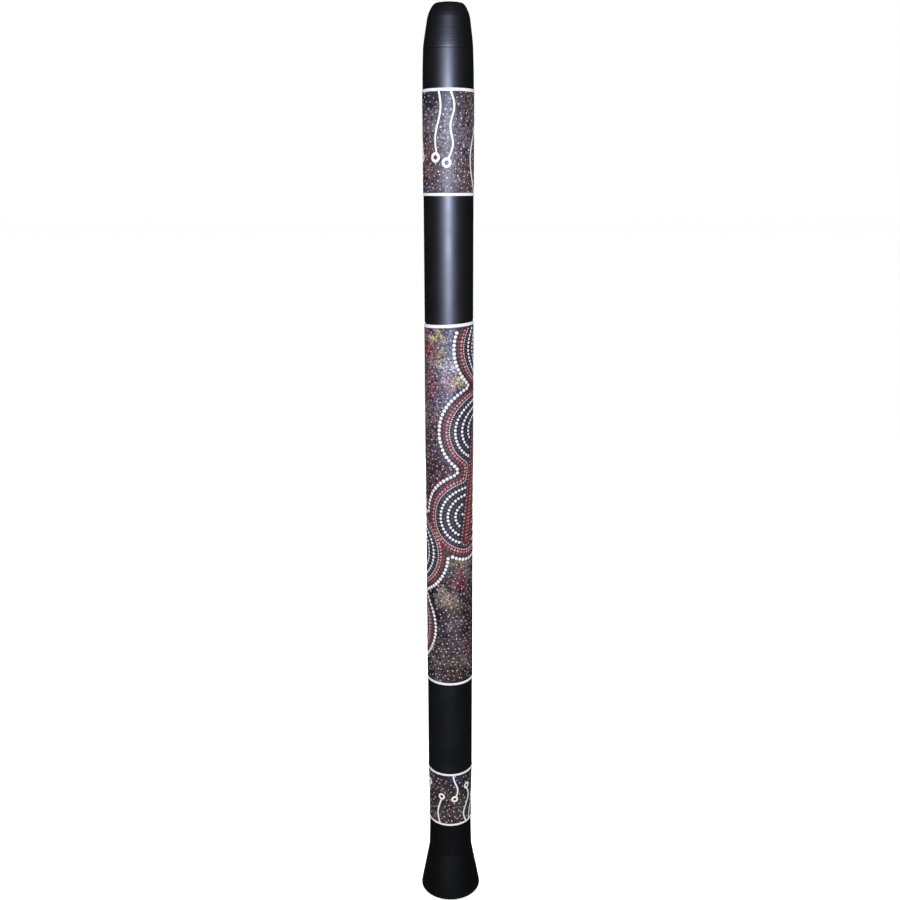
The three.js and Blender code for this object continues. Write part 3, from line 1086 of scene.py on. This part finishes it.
def camera():
    data = bpy.data.cameras.new("camera")
    data.lens, data.sensor_width = 40, 36
    data.clip_start, data.clip_end = 0.05, 100
    made = bpy.data.objects.new("camera", data)
    bpy.context.scene.collection.objects.link(made)
    made.location = CAMERA_PLACE
    pitch = Matrix.Rotation(math.radians(90 - CAMERA_TILT), 4, "X")
    roll = Matrix.Rotation(math.radians(CAMERA_ROLL), 4, "Z")
    made.rotation_euler = (pitch @ roll).to_euler()
    bpy.context.scene.camera = made
    bpy.context.scene.view_settings.view_transform = "Standard"


# ---------- assembly

camera()
pale_floor()
studio_world()
studio_lights()

pipe_greys = srgb(10, 10, 10), srgb(16, 15, 15)
bell_greys = srgb(6, 4, 1), srgb(11, 8, 3)
mouthpiece(black_plastic("mouthpiece_plastic", TOP, TOP - 8, TUBE_TOP, *pipe_greys))
# The tube's scuffs and turning marks would lie beyond its ends, so it has none
main_tube(black_plastic("tube_plastic", TUBE_BOTTOM - 20, TUBE_BOTTOM - 10, TOP, *pipe_greys))
bell(black_plastic("bell_plastic", 0, 5, 0, *bell_greys))

mottled = dotted_film()
print_film("upper_print_film", "upper_print_wrap", mottled, tube_radius,
           PRINT_ROW_PITCH)
print_film("lower_print_film", "lower_print_wrap", mottled, neck_radius,
           PRINT_ROW_PITCH)
middle_film_rise = MIDDLE_TOP_SLOPE * (TUBE_RADIUS + GLUE + PRINT_THICKNESS)
middle_film_top = highest("middle_print_wrap").z - middle_film_rise
middle_film = print_film("middle_print_film", "middle_print_wrap", ringed_film(),
                         tube_radius, RINGED_PRINT_ROW_PITCH, middle_film_top, MIDDLE_TOP_SLOPE)

tape = white_tape()
tape_band("upper_top_tape", "upper_wrap_top_band", tape, tube_radius, seam=168)
tape_band("upper_bottom_tape", "upper_wrap_bottom_band", tape, tube_radius, seam=181)
tape_band("middle_top_tape", "middle_wrap_top_band", tape, tube_radius, seam=174,
          slope=MIDDLE_TOP_SLOPE)
tape_band("middle_bottom_tape", "middle_wrap_bottom_band", tape, tube_radius, seam=186)
tape_band("lower_top_tape", "lower_wrap_top_band", tape, tube_radius, seam=176)
tape_band("lower_bottom_tape", "lower_wrap_bottom_band", tape, neck_radius, seam=170)

inks = {
    "white": paint("white_ink", [srgb(253, 252, 255), srgb(244, 242, 250)]),
    "pale_pink": paint("pale_pink_ink", [srgb(232, 206, 212), srgb(246, 234, 240)]),
    "salmon": paint("salmon_ink", [srgb(176, 112, 116), srgb(212, 164, 166)]),
    "mauve": paint("mauve_ink", [srgb(104, 78, 84), srgb(134, 108, 116)]),
    "slate": paint("slate_ink", [srgb(96, 96, 118), srgb(124, 116, 136)]),
    "star": paint("star_ink", [srgb(236, 232, 240), srgb(218, 204, 208),
                               srgb(248, 246, 252), srgb(212, 200, 178)]),
}
middle_decoration(middle_film, middle_film_top, inks)

# Each stroke: its angle at the edge, how far it turns, its length (negative when it hangs),
# and its waves: how wide, how many, where they start, and how far the whole line bulges
upper_strokes = [
    (-21, -9, -73, 2.8, 1.0, 0.0, 0), (6, -10, -79, 2.2, 1.7, -0.6, 2),
    (78, 15, 88, 0, 0.5, 0.0, -15), (-92, 13, -72, 2.5, 1.2, 0.5, -1),
    (118, 8, -62, 2.4, 1.4, 1.0, 0), (150, -6, -70, 2.6, 1.0, 2.0, 1),
    (-140, 7, 66, 2.6, 1.3, 0.8, 0),
]
stroke_set("upper", Surface("upper_print_wrap", tube_radius), upper_strokes,
           line_width=2.5, ring_radius=4.3, paints=inks, seed=21)

lower_strokes = [
    (8, 4, -37, 1.5, 1.0, 3.1, 3), (-30, 6, 42, 0.4, 1.0, 3.1, -4.3),
    (47, 2, 55, 4.5, 1.0, 3.1, 0.4), (60, 20, 34, -1.4, 0.8, 0.0, 0),
    (-84, 16, 57, 2.0, 0.9, 1.2, 0), (128, -8, -30, 2.0, 0.9, 0.4, 0),
    (166, 8, 44, 1.8, 1.0, 2.0, 0), (-126, -8, -34, 1.8, 1.0, 0.2, 0),
    (-160, 8, 40, 1.6, 0.8, 1.0, 0),
]
stroke_set("lower", Surface("lower_print_wrap", neck_radius), lower_strokes,
           line_width=2.4, ring_radius=3.5, paints=inks, seed=31)
